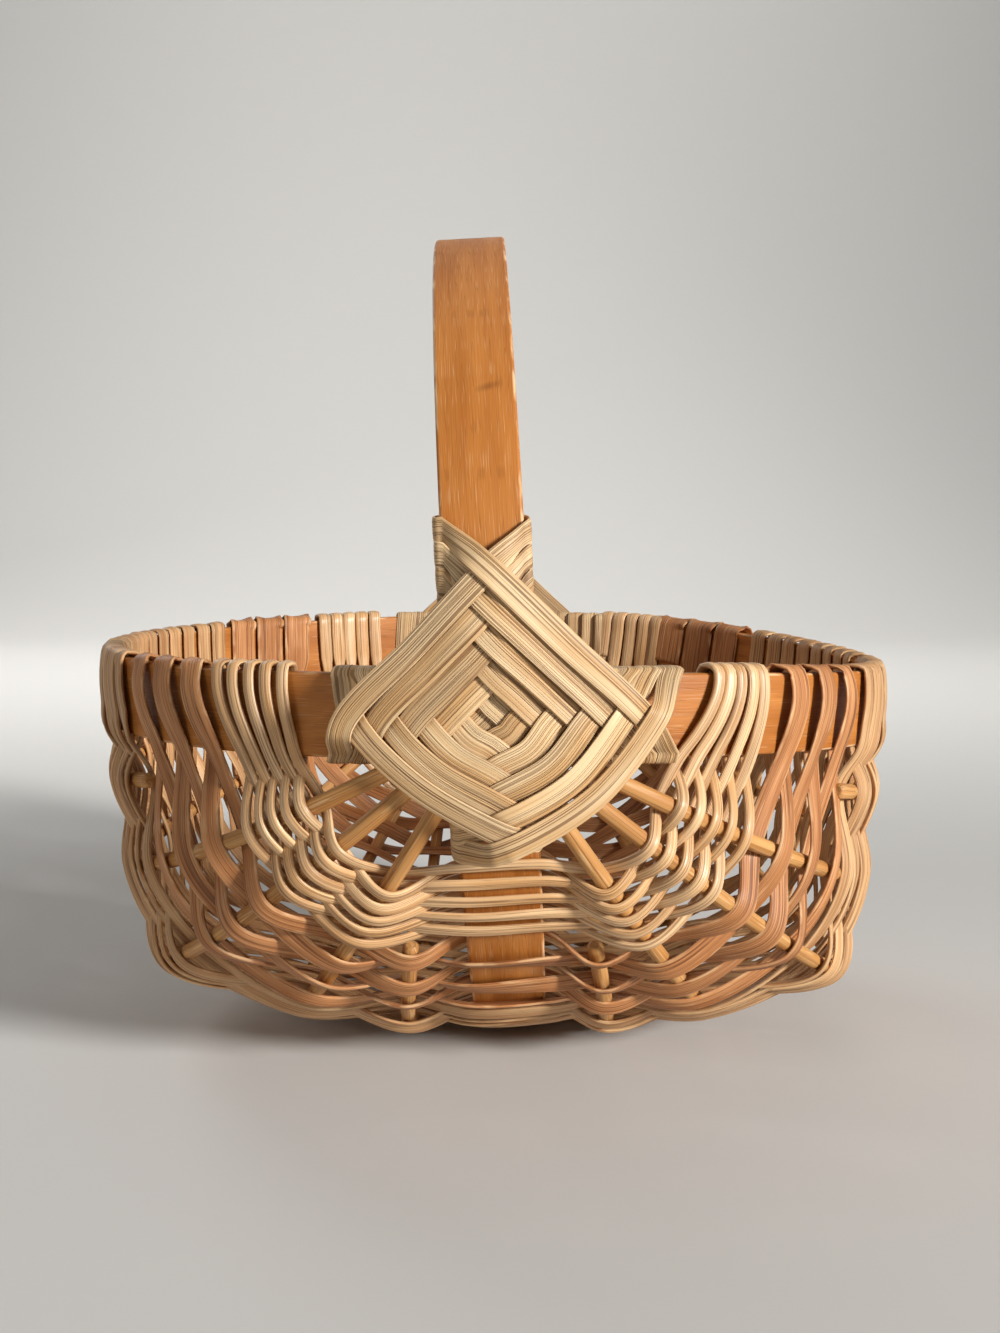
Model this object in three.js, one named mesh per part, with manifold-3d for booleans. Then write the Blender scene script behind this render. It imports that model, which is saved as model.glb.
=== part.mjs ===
// Rib basket: two bent-wood hoops tied at right angles by woven diamonds, ten ribs and six bands of reed.
// Millimetres, +Z up, +X to the right and +Y to the back. The basket stands on z = 0.
import * as THREE from 'three';
import { mergeVertices } from 'three/addons/utils/BufferGeometryUtils.js';
import Module from 'manifold-3d';

// Handle hoop: it passes over the basket and under the bowl, and leans a little to the left
const hoopLength = 254; // outside, front to back
const hoopHeight = 247; // outside, top to bottom
const hoopRise = 12.5; // its centre above the middle of the rim
const hoopLean = 3; // degrees
const handleWidth = 20.6;
const handleThickness = 3.6;

// Rim hoop: it lies inside the handle hoop, and droops at the sides
const rimSpan = 245; // outside, side to side
const rimWidth = 21.5;
const rimThickness = 3.6;
const rimDroop = 5; // how much lower both ends are than the front
const rimEndDrop = 3; // how much further the right end drops, and the left end rises
const hoopClearance = 0.35; // between the two hoops where they cross

// Ribs: arcs of round reed. Out is a share of the rim's half span and down a share of the bowl's depth, where
// an arc passes the middle of the basket. Place is its share of the way from rim to keel, inset is how far
// inside the handle hoop it would end in front, and a small bow keeps it by the keel
const ribDiameter = 4.4;
const ribTuck = 5.5; // length of a rib's end under the lashing
const fillerTipGap = 1.6; // between a filler rib's tip and the last strand in front of it
const ribInset = 0.5;
const fillerInset = 3.5;
const ribTable = [
  {
    name: 'upper_filler_rib',
    out: 0.9715,
    down: 0.2883,
    inset: fillerInset,
    place: 0.17,
    startsAfter: 'red',
  },
  { name: 'upper_rib', out: 0.9429, down: 0.5405, inset: ribInset, place: 0.33 },
  { name: 'middle_rib', out: 0.8776, down: 0.8198, inset: ribInset, place: 0.5 },
  { name: 'lower_rib', out: 0.5388, down: 0.946, inset: ribInset, place: 0.67 },
  {
    name: 'lower_filler_rib',
    out: 0.2531,
    down: 1,
    inset: ribInset,
    place: 0.83,
    bow: 0.5,
    besideKeel: true,
    startsAfter: 'light',
  },
];

// Lashings: flat reed wound round the four arms of the crossing
const lashWidth = 6.1;
const lashThickness = 1.8;
const lashRounds = 4;
const lashStart = 3.4; // half diagonal of the small diamond in the middle
const lashCrown = 2; // how far the diamond stands in front of the wraps on its arms
const lashDepth = 7.2; // from the front of the wood to the back of the diamond's pad
const lashGap = 0.35; // between a lashing and the wood it is wound on
const wrapOnHandle = 47; // from the middle of the crossing to the last wrap
const wrapOnRim = 43;
const wrapOnKeel = 39;

// Woven strands: each goes over and under the ribs from rim to rim, turns over the rim and comes back
const strandGap = 0.35; // between a strand and what it passes
const strandEdge = 0.5; // how far past the edge of a flat hoop a strand bends
const rimSlant = 6; // how far a strand leans away from the lashing on its way up the rim
const weaveFromRimWrap = 8; // bare rim between the lashing and the first strand
const weaveFromKeelWrap = 1.5; // the same, on the keel
const bandGap = 3.2; // between the edges of two neighbouring bands
const pairsPerLength = 2; // rows there and back that one length of reed makes
const spliceGap = 0.2; // share of the rim's height between the ends of two lengths, inside the right rim
const bands = {
  light: { width: 2.1, thickness: 2.1, rowGap: 0.66, pairs: 5, fillers: [] },
  red: { width: 5.6, thickness: 1.6, rowGap: 1, pairs: 3, fillers: ['lower_filler_rib'] },
  tan: {
    width: 3.6,
    thickness: 1.8,
    rowGap: 0.6,
    pairs: 8,
    fillers: ['lower_filler_rib', 'upper_filler_rib'],
  },
};
const middleShare = 0.65; // of a tan row's step, between the last row and the middle of the basket
const restFlat = 0.6; // depth of the worn flats that the basket stands on

// Facets
const hoopSteps = 72;
const ribSteps = 28;
const ribSides = 6;

const wasm = await Module();
wasm.setup();

const lean = THREE.MathUtils.degToRad(hoopLean);
const hoopA = hoopLength / 2;
const hoopB = hoopHeight / 2;
const rimHalf = rimWidth / 2;
const rimA = rimSpan / 2;
const handleHalf = handleWidth / 2;
const ribRadius = ribDiameter / 2;

// The rim's outer face in front just fits inside the handle hoop at the rim's lower edge
const innerA = hoopA - handleThickness;
const innerB = hoopB - handleThickness;
const rimB = innerA * Math.sqrt(1 - ((rimHalf + hoopRise) / innerB) ** 2) - hoopClearance;

// The ribs get their sizes from the two hoops
const bowlDepth = hoopB - hoopRise;
const ribs = ribTable.map((row) => ({
  ...row,
  out: row.out * rimA,
  down: row.down * bowlDepth,
  reach: hoopA - row.inset,
  bow: row.bow ?? 1,
}));

const vec = (x, y, z) => new THREE.Vector3(x, y, z);

// A point of the handle hoop at angle u from the front, off its outer face and across its width
function hoopPoint(u, off = 0, across = 0) {
  const normal = vec(0, -Math.cos(u) / hoopA, -Math.sin(u) / hoopB).normalize();
  const y = -hoopA * Math.cos(u) + off * normal.y;
  const z = hoopRise - hoopB * Math.sin(u) + off * normal.z;
  return vec(across * Math.cos(lean) - z * Math.sin(lean), y, across * Math.sin(lean) + z * Math.cos(lean));
}

// A point of the rim at angle t from the front, off its outer face and above its middle line
function rimPoint(side, t, off = 0, up = 0) {
  const normal = vec(Math.sin(t) / rimA, -Math.cos(t) / rimB, 0).normalize();
  const x = rimA * Math.sin(t) + off * normal.x;
  const y = -rimB * Math.cos(t) + off * normal.y;
  const level = -rimDroop * Math.sin(t) ** 2 - side * rimEndDrop * Math.sin(t) ** 3;
  return vec(side * x, y, up + level);
}

// A point of a rib's middle line. The ribs follow the rim's tilt, and near the keel they follow its lean
function ribPoint(rib, side, t) {
  const out = rib.out * Math.sin(t) ** rib.bow;
  const raised = rib.besideKeel ? hoopRise * (1 - Math.sin(t)) : 0;
  const down = rib.down * Math.sin(t) - raised + side * rimEndDrop * (out / rimA) ** 3;
  return vec(side * out + down * Math.tan(lean) * rib.place, -rib.reach * Math.cos(t), -down);
}

// Direction of a line of points as its angle grows
function along(pointAt, t) {
  const step = 1e-3;
  return pointAt(t + step).sub(pointAt(t - step)).normalize();
}

function geometryFrom(positions, indices) {
  const geometry = new THREE.BufferGeometry();
  geometry.setAttribute('position', new THREE.Float32BufferAttribute(positions, 3));
  geometry.setIndex(indices);
  return geometry;
}

// Carry a section along a path. Each section is a ring of points, anticlockwise about the path's direction
function loft(rings, closed = false) {
  const sides = rings[0].length;
  const positions = rings.flat().flatMap((p) => [p.x, p.y, p.z]);
  const indices = [];
  const count = closed ? rings.length : rings.length - 1;
  for (let i = 0; i < count; i += 1) {
    const a = i * sides;
    const b = ((i + 1) % rings.length) * sides;
    for (let j = 0; j < sides; j += 1) {
      const k = (j + 1) % sides;
      indices.push(a + j, a + k, b + k, a + j, b + k, b + j);
    }
  }
  if (!closed) {
    const last = (rings.length - 1) * sides;
    for (let j = 1; j < sides - 1; j += 1) {
      indices.push(0, j + 1, j, last, last + j, last + j + 1);
    }
  }
  return geometryFrom(positions, indices);
}

// The front pieces are made first, and the back ones are their mirror images
function mirrored(geometry) {
  const copy = geometry.clone().scale(1, -1, 1);
  const index = copy.getIndex().array;
  for (let i = 0; i < index.length; i += 3) {
    [index[i], index[i + 1]] = [index[i + 1], index[i]];
  }
  return copy;
}

function toSolid(geometry) {
  const plain = geometry.clone();
  plain.deleteAttribute('normal');
  plain.deleteAttribute('uv');
  const merged = mergeVertices(plain, 1e-4);
  const vertProperties = new Float32Array(merged.getAttribute('position').array);
  const triVerts = new Uint32Array(merged.getIndex().array);
  return new wasm.Manifold(new wasm.Mesh({ numProp: 3, vertProperties, triVerts }));
}

function fromSolid(solid) {
  const mesh = solid.getMesh();
  return geometryFrom(Array.from(mesh.vertProperties), Array.from(mesh.triVerts));
}

// Stretch of the handle hoop between two angles, made larger all round by grow
function hoopBand(from, to, steps, grow = 0, closed = false) {
  const rings = [];
  const half = handleHalf + grow;
  const inner = -handleThickness - grow;
  for (let i = 0; i < (closed ? steps : steps + 1); i += 1) {
    const u = from + ((to - from) * i) / steps;
    rings.push([
      hoopPoint(u, grow, -half),
      hoopPoint(u, inner, -half),
      hoopPoint(u, inner, half),
      hoopPoint(u, grow, half),
    ]);
  }
  return loft(rings, closed);
}

// Stretch of the rim between two angles, made larger all round by grow
function rimBand(from, to, steps, grow = 0, closed = false) {
  const rings = [];
  const half = rimHalf + grow;
  const inner = -rimThickness - grow;
  for (let i = 0; i < (closed ? steps : steps + 1); i += 1) {
    const t = from + ((to - from) * i) / steps;
    rings.push([
      rimPoint(1, t, grow, -half),
      rimPoint(1, t, inner, -half),
      rimPoint(1, t, inner, half),
      rimPoint(1, t, grow, half),
    ]);
  }
  return loft(rings, closed);
}

// Half diagonal of the whole woven diamond
const lashPitch = lashWidth * Math.SQRT2;
const diamond = lashStart + lashRounds * lashPitch;

// Angle from the front for a length of arc along the rim or the keel, near the front
const rimAngle = (length) => length / ((rimA + rimB) / 2);
const keelZero = Math.asin(hoopRise / hoopB);
const keelAngle = (length) => keelZero + length / ((hoopA + hoopB) / 2);

// Rows of each band: angle of the first row and the step, along the rim and along the keel
let rimEdge = wrapOnRim + weaveFromRimWrap;
let keelEdge = Math.max(wrapOnKeel, diamond) + weaveFromKeelWrap;
for (const band of Object.values(bands)) {
  const pitch = band.width + band.rowGap;
  band.rows = band.pairs * 2;
  band.rimFirst = rimAngle(rimEdge + band.width / 2);
  band.keelFirst = keelAngle(keelEdge + band.width / 2);
  band.rimStep = rimAngle(pitch);
  band.keelStep = keelAngle(pitch) - keelAngle(0);
  rimEdge += pitch * (band.rows - 1) + band.width + bandGap;
  keelEdge += pitch * (band.rows - 1) + band.width + bandGap;
}

// The tan rows spread evenly from the red band to the middle of the basket
const tanSteps = bands.tan.rows - 1 + middleShare;
bands.tan.rimStep = (Math.PI / 2 - bands.tan.rimFirst) / tanSteps;
bands.tan.keelStep = (Math.PI / 2 - bands.tan.keelFirst) / tanSteps;

// Angle of a row part of the way from the rim to the keel
function rowAngle(band, row, place) {
  const atRim = band.rimFirst + row * band.rimStep;
  const atKeel = band.keelFirst + row * band.keelStep;
  return atRim + (atKeel - atRim) * place;
}

// Angle of a row on a rib. A rib that bulges is crossed sooner, so that the strand takes the short way
function ribAngle(band, row, rib) {
  const t = rowAngle(band, row, rib.place);
  const bulge = 1 - rimA / Math.hypot(rib.out, rib.down);
  return t - bulge * Math.sin(t) * Math.cos(t);
}

// Angle at which a rib starts: under the lashing, or just behind the last strand of the band before it
function ribStart(rib) {
  if (rib.startsAfter) {
    const band = bands[rib.startsAfter];
    const tip = (band.width / 2 + fillerTipGap) / rib.reach;
    return ribAngle(band, band.rows - 1, rib) + tip;
  }
  const radius = Math.hypot(rib.out, rib.down);
  const edge = (diamond * radius) / (rib.out + rib.down);
  return Math.asin((edge - ribTuck) / radius);
}

// Round reed along a rib's arc, made larger all round by grow
function ribReed(rib, side, grow = 0) {
  const start = ribStart(rib) - grow / rib.reach;
  const rings = [];
  for (let i = 0; i <= ribSteps; i += 1) {
    const t = start + ((Math.PI - 2 * start) * i) / ribSteps;
    const centre = ribPoint(rib, side, t);
    const forward = along((s) => ribPoint(rib, side, s), t);
    const outward = vec(side * rib.out, 0, -rib.down).normalize();
    const flat = outward.clone().cross(forward).normalize();
    const up = forward.clone().cross(flat);
    const ring = [];
    for (let j = 0; j < ribSides; j += 1) {
      const angle = (2 * Math.PI * j) / ribSides;
      const reach = ribRadius + grow;
      ring.push(
        centre
          .clone()
          .addScaledVector(flat, reach * Math.cos(angle))
          .addScaledVector(up, -reach * Math.sin(angle)),
      );
    }
    rings.push(ring.reverse());
  }
  return loft(rings);
}

// One strand's way over the rim, from its outer lower edge to its inner lower edge
function turnOverRim(band, side, outerAngle, innerAngle) {
  const off = band.thickness / 2 + strandGap;
  const corner = 0.4 * off;
  const slant = rimAngle(rimSlant) * Math.cos(outerAngle);
  const low = -rimHalf - strandEdge;
  const route = [
    [outerAngle, off, low],
    [outerAngle + slant, off, rimHalf + corner],
    [outerAngle + slant, corner, rimHalf + off],
    [innerAngle + slant, -rimThickness - corner, rimHalf + off],
    [innerAngle + slant, -rimThickness - off, rimHalf + corner],
    [innerAngle, -rimThickness - off, low],
  ];
  return route.map(([t, away, up]) => ({
    point: rimPoint(side, t, away, up),
    middle: rimPoint(side, t, -rimThickness / 2, up),
    width: along((s) => rimPoint(side, s, away, up), t),
  }));
}

// Points of one row between the two rims, from right to left. Even rows pass outside the rim
function rowRoute(band, row) {
  const half = ribs.filter((rib) => !rib.startsAfter || band.fillers.includes(rib.name));
  const right = half.map((rib) => ({ rib, side: 1 }));
  const left = half.map((rib) => ({ rib, side: -1 })).reverse();
  const stakes = [...right, { keel: true }, ...left];
  const thick = band.thickness / 2;
  const route = [];
  stakes.forEach((stake, i) => {
    const outside = (row + i) % 2 === 1;
    if (stake.keel) {
      const u = rowAngle(band, row, 1);
      const off = outside ? thick + strandGap : -handleThickness - thick - strandGap;
      for (const across of [handleHalf + strandEdge, -handleHalf - strandEdge]) {
        const width = along((s) => hoopPoint(s, off, across), u);
        const middle = hoopPoint(u, -handleThickness / 2, across);
        route.push({ point: hoopPoint(u, off, across), middle, width });
      }
      return;
    }
    const t = ribAngle(band, row, stake.rib);
    const middle = ribPoint(stake.rib, stake.side, t);
    const rib = along((s) => ribPoint(stake.rib, stake.side, s), t);
    route.push({ point: middle.clone(), middle, rib, outside });
  });
  return route;
}

// Move each crossing off its rib until the strand clears the rib on both sides of the crossing
function clearRibs(route, band) {
  const need = ribRadius + strandGap + band.thickness / 2;
  for (let pass = 0; pass < 6; pass += 1) {
    route.forEach((stop, i) => {
      if (!stop.rib) {
        return;
      }
      const before = route[i - 1];
      const after = route[i + 1];
      if (!stop.normal) {
        const chord = after.middle.clone().sub(before.middle);
        stop.normal = chord.clone().cross(stop.rib).normalize();
        stop.width = stop.normal.clone().cross(chord).normalize();
      }
      const sign = stop.outside ? 1 : -1;
      let least = need;
      for (const next of [before, after]) {
        const line = next.point.clone().sub(stop.point);
        line.addScaledVector(stop.rib, -line.dot(stop.rib)).normalize();
        const slope = Math.abs(line.dot(stop.normal));
        const level = Math.sqrt(1 - Math.min(slope, 0.8) ** 2);
        least = Math.max(least, need / level);
      }
      stop.point = stop.middle.clone().addScaledVector(stop.normal, sign * least);
    });
  }
}

// One length of a band's reed, as a line of stops with a direction across the strand at each
function strandRoute(band, firstRow, endRow) {
  const stops = [];
  for (let row = firstRow; row < endRow; row += 1) {
    const even = row % 2 === 0;
    const rimNow = rowAngle(band, row, 0);
    const rimNext = rowAngle(band, row + 1, 0);
    const rimLast = rowAngle(band, row - 1, 0);
    const right = even
      ? turnOverRim(band, 1, rimNow, rimLast)
      : turnOverRim(band, 1, rimNext, rimNow);
    const left = even
      ? turnOverRim(band, -1, rimNow, rimNext)
      : turnOverRim(band, -1, rimLast, rimNow);
    const lowRight = even ? right[0] : right[right.length - 1];
    const lowLeft = even ? left[0] : left[left.length - 1];
    const route = [lowRight, ...rowRoute(band, row), lowLeft];
    clearRibs(route, band);
    if (even) {
      const head = right.slice(1).reverse();
      if (row === firstRow && row > 0) {
        head[0].point.lerp(head[1].point, spliceGap);
      } else {
        head.shift();
      }
      stops.push(...head, ...route, ...left.slice(1, -1));
    } else {
      stops.push(...route.reverse());
    }
  }
  return stops;
}

// Flat-sided reed of a band's width and thickness along its route
function strandReed(band, firstRow, endRow) {
  const stops = strandRoute(band, firstRow, endRow);
  const rings = stops.map((stop, i) => {
    const before = stops[Math.max(i - 1, 0)].point;
    const after = stops[Math.min(i + 1, stops.length - 1)].point;
    const ahead = after.clone().sub(stop.point).normalize();
    const behind = stop.point.clone().sub(before).normalize();
    const forward = ahead.add(behind).normalize();
    const across = stop.width.clone().addScaledVector(forward, -stop.width.dot(forward)).normalize();
    const normal = forward.clone().cross(across);
    const corner = (a, n) =>
      stop.point
        .clone()
        .addScaledVector(across, (a * band.width) / 2)
        .addScaledVector(normal, (n * band.thickness) / 2);
    return [corner(1, 1), corner(-1, 1), corner(-1, -1), corner(1, -1)];
  });
  return loft(rings);
}

// Depth of the lashing's face in front of the wood, at a place on the crossing seen from the front
function lashFace(x, z) {
  const edge = handleHalf + lashThickness;
  const size = Math.abs(x) + Math.abs(z);
  const run = Math.max(size - rimHalf - edge, lashThickness);
  const share = THREE.MathUtils.clamp((Math.abs(x) - edge) / run, 0, 1);
  const overHandle = hoopA * Math.sqrt(1 - ((z - hoopRise) / hoopB) ** 2);
  const overRim = rimB * Math.sqrt(1 - (x / rimA) ** 2);
  return overHandle + (overRim - overHandle) * share + lashGap;
}

// Woven diamond: rounds of flat reed, each a low ridge, on a domed pad that the four arms pass through
function lashPad() {
  const ridge = lashCrown + lashThickness;
  const groove = ridge - 0.5 * lashThickness;
  const profile = [[0.5 * lashStart, ridge]];
  for (let round = 0; round < lashRounds; round += 1) {
    const from = lashStart + round * lashPitch;
    profile.push([from, groove], [from + 0.2 * lashPitch, ridge], [from + 0.8 * lashPitch, ridge]);
  }
  profile.push([diamond, groove]);
  const ringAt = (size, raise) => {
    const nearHandle = Math.min(handleHalf + lashThickness, 0.45 * size);
    const nearRim = Math.min(rimHalf, 0.45 * size);
    const steps = [0, nearHandle, size - nearRim];
    const quarter = (sx, sz, swap) => {
      const xs = swap ? [size, size - nearRim, nearHandle] : steps;
      return xs.map((x) => [sx * x, sz * (size - x)]);
    };
    const outline = [
      ...quarter(1, 1, false),
      ...quarter(1, -1, true),
      ...quarter(-1, -1, false),
      ...quarter(-1, 1, true),
    ];
    return outline.map(([x, z]) => vec(x - z * Math.sin(lean) * 0.5, -lashFace(x, z) - raise, z));
  };
  return loft([
    ...profile.map(([size, raise]) => ringAt(size, raise)),
    ringAt(diamond, -lashDepth),
    ringAt(0.3 * diamond, -lashDepth),
  ]);
}

// A wound sleeve on one arm of the crossing, out to its last wrap
function lashSleeves() {
  const grow = lashGap + lashThickness;
  const from = lashStart;
  const steps = 6;
  const top = -keelAngle(wrapOnHandle) + 2 * keelZero;
  return [
    hoopBand(top, keelAngle(from), steps, grow),
    hoopBand(keelAngle(from), keelAngle(wrapOnKeel), steps, grow),
    rimBand(-rimAngle(wrapOnRim), rimAngle(wrapOnRim), 2 * steps, grow),
  ];
}

// The largest body of a solid, without the splinters that two cuts side by side can leave
function withoutSplinters(solid) {
  return solid.decompose().reduce((best, body) => (body.volume() > best.volume() ? body : best));
}

function lashing() {
  let solid = toSolid(lashPad());
  for (const sleeve of lashSleeves()) {
    solid = solid.add(toSolid(sleeve));
  }
  const steps = Math.ceil(hoopSteps / 12);
  const wide = (2 * Math.PI * steps) / hoopSteps;
  const cuts = [hoopBand(-wide, wide, 2 * steps, lashGap), rimBand(-wide, wide, 2 * steps, lashGap)];
  for (const rib of ribs.filter((one) => !one.startsAfter)) {
    cuts.push(ribReed(rib, 1, lashGap), ribReed(rib, -1, lashGap));
  }
  for (const cut of cuts) {
    solid = solid.subtract(toSolid(cut));
  }
  return fromSolid(withoutSplinters(solid));
}

const colours = {
  hoop: { color: 0xbb7d45, roughness: 0.42 },
  rib: { color: 0xc79a63, roughness: 0.6 },
  lash: { color: 0xd2ad78, roughness: 0.55 },
  light: { color: 0xd8b27c, roughness: 0.5 },
  red: { color: 0xa9714d, roughness: 0.55 },
  tan: { color: 0xc0905c, roughness: 0.55 },
};

const basket = new THREE.Group();
const lifted = new THREE.Group();
basket.add(lifted);

function addPiece(name, geometry, colour) {
  const material = new THREE.MeshStandardMaterial({ ...colours[colour], metalness: 0 });
  const mesh = new THREE.Mesh(geometry, material);
  mesh.name = name;
  lifted.add(mesh);
}

addPiece('handle_hoop', hoopBand(0, 2 * Math.PI, hoopSteps, 0, true), 'hoop');
addPiece('rim_hoop', rimBand(0, 2 * Math.PI, hoopSteps, 0, true), 'hoop');
for (const [sideName, side] of [['right', 1], ['left', -1]]) {
  for (const rib of ribs) {
    addPiece(`${sideName}_${rib.name}`, ribReed(rib, side), 'rib');
  }
}
const eye = lashing();
addPiece('front_eye_lashing', eye, 'lash');
addPiece('back_eye_lashing', mirrored(eye), 'lash');

// Each band is several lengths of reed. The lowest are worn flat where the basket stands
const lengths = [];
for (const [name, band] of Object.entries(bands)) {
  const rowsEach = 2 * pairsPerLength;
  for (let row = 0; row < band.rows; row += rowsEach) {
    const reed = strandReed(band, row, Math.min(row + rowsEach, band.rows));
    reed.computeBoundingBox();
    lengths.push({ name, reed, number: 1 + row / rowsEach, low: reed.boundingBox.min.z });
  }
}
const floor = Math.min(...lengths.map((length) => length.low)) + restFlat;
const ground = new THREE.BoxGeometry(rimSpan, hoopLength, hoopHeight);
ground.translate(0, 0, floor - hoopHeight / 2);
for (const { name, reed, number, low } of lengths) {
  const worn = low < floor ? fromSolid(toSolid(reed).subtract(toSolid(ground))) : reed;
  addPiece(`front_${name}_weaver_${number}`, worn, name);
  addPiece(`back_${name}_weaver_${number}`, mirrored(worn), name);
}

// Stand the basket on z = 0, with the origin under the middle of its outline
const box = new THREE.Box3().setFromObject(lifted);
lifted.position.set(-(box.min.x + box.max.x) / 2, -(box.min.y + box.max.y) / 2, -floor);

export default basket;
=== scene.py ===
# Rib basket: two bent-wood hoops tied by woven diamonds, ten ribs and six bands of woven reed
import math

import bpy
import numpy as np
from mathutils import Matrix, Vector


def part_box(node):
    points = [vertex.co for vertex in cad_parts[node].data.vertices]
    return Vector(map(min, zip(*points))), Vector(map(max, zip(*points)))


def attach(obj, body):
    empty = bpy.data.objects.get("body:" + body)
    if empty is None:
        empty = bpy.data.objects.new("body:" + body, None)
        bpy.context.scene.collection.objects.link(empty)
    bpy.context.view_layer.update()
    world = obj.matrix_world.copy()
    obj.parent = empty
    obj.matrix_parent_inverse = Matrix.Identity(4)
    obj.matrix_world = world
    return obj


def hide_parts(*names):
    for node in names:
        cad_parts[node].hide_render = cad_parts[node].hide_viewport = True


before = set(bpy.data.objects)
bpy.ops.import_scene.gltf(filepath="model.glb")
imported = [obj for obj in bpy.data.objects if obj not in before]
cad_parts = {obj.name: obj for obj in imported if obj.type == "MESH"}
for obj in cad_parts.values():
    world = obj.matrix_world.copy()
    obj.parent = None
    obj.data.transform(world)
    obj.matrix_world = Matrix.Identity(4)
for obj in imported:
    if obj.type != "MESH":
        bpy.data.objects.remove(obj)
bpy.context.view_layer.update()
print("frame loaded")

# sizes are in mm from the middle of the rim, +X right, +Y back, +Z up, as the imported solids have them
hoop = {
    "length": 254,  # outside, front to back
    "height": 247,
    "rise": 12.5,  # centre above the middle of the rim
    "lean": math.radians(3),
    "width": 20.6,
    "thickness": 3.6,
    "edge": 0.9,  # radius of the worn edges
    "wobble": 0.16,
    "seeds": (3, 4),
    "tone": 0.5,
    "steps": 420,
}
rim = {
    "span": 245,
    "width": 21.5,
    "thickness": 3.6,
    "droop": 5,  # both ends below the front
    "endDrop": 3,  # right end further down, left end further up
    "clearance": 0.35,
    "edge": 0.8,
    "wobble": 0.2,
    "seeds": (5, 6),
    "tone": 0.3,
    "steps": 420,
}
hoopA = hoop["length"] / 2
hoopB = hoop["height"] / 2
hoopHalf = hoop["width"] / 2
rimA = rim["span"] / 2
rimHalf = rim["width"] / 2
innerA = hoopA - hoop["thickness"]
innerB = hoopB - hoop["thickness"]
rimB = innerA * math.sqrt(1 - ((rimHalf + hoop["rise"]) / innerB) ** 2) - rim["clearance"]
bowlDepth = hoopB - hoop["rise"]

# place of the rim's middle in the row frame, from the boxes of the two packed hoops
rimLow, rimHigh = (np.array(corner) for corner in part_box("rim_hoop"))
hoopTop = (hoop["rise"] + hoopB) * math.cos(hoop["lean"]) + hoopHalf * math.sin(hoop["lean"])
rimMiddle = (rimLow + rimHigh) / 2
rimMiddle[2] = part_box("handle_hoop")[1][2] - hoopTop / 1000


def toRow(points):  # mm from the rim's middle to metres in the row frame
    return points / 1000 + rimMiddle


def unit(v):
    return v / np.linalg.norm(v, axis=-1, keepdims=True)


def stack(x, y, z):
    return np.stack(np.broadcast_arrays(x, y, z), -1).astype(float)


# Handle hoop: an ellipse in a plane that leans to the left, moved off along its normal and across its width
def hoopPoint(u, off=0, across=0):
    u, off, across = np.broadcast_arrays(u, off, across)
    ny, nz = -np.cos(u) / hoopA, -np.sin(u) / hoopB
    size = np.hypot(ny, nz)
    y = -hoopA * np.cos(u) + off * ny / size
    z = hoop["rise"] - hoopB * np.sin(u) + off * nz / size
    c, s = math.cos(hoop["lean"]), math.sin(hoop["lean"])
    return stack(across * c - z * s, y, across * s + z * c)


# Rim: an ellipse seen from above that droops at both ends, moved off along its normal and up
def rimPoint(side, t, off=0, up=0):
    t, off, up = np.broadcast_arrays(t, off, up)
    nx, ny = np.sin(t) / rimA, -np.cos(t) / rimB
    size = np.hypot(nx, ny)
    x = rimA * np.sin(t) + off * nx / size
    y = -rimB * np.cos(t) + off * ny / size
    level = -rim["droop"] * np.sin(t) ** 2 - side * rim["endDrop"] * np.sin(t) ** 3
    return stack(side * x, y, up + level)


def slope(pointAt, t, step=1e-3):  # direction of a line of points as its angle grows
    return unit(pointAt(t + step) - pointAt(t - step))


# Rounded rectangle, anticlockwise, as four quarter circles
def roundBar(width, depth, radius, perCorner=6):
    turn = np.linspace(0, np.pi / 2, perCorner)
    quarters = []
    for k, (sx, sy) in enumerate([(1, 1), (-1, 1), (-1, -1), (1, -1)]):
        x = sx * (width / 2 - radius) + radius * np.cos(turn + k * np.pi / 2)
        y = sy * (depth / 2 - radius) + radius * np.sin(turn + k * np.pi / 2)
        quarters.append(np.stack([x, y], -1))
    return np.concatenate(quarters)


# Flat-oval reed, anticlockwise: the upper and lower halves of a superellipse, with lengthwise ridges on both
def reedSection(width, thickness, power, ridges, ridgeHeight, perFace):
    x = np.sin(np.linspace(np.pi / 2, -np.pi / 2, perFace))
    y = (1 - np.abs(x) ** power) ** (1 / power) * thickness / 2
    y = y + ridgeHeight * np.cos(ridges * np.pi * x) * (1 - x**2)
    upper = np.stack([x * width / 2, y], -1)
    return np.concatenate([upper, -upper[1:-1]])


def edgeOf(section, start=0.72, fade=0.2):  # 1 along the two edges of a flat reed, 0 on its faces
    x = np.abs(section[:, 0]) / section[:, 0].max()
    return np.clip((x - start) / fade, 0, 1)


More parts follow.
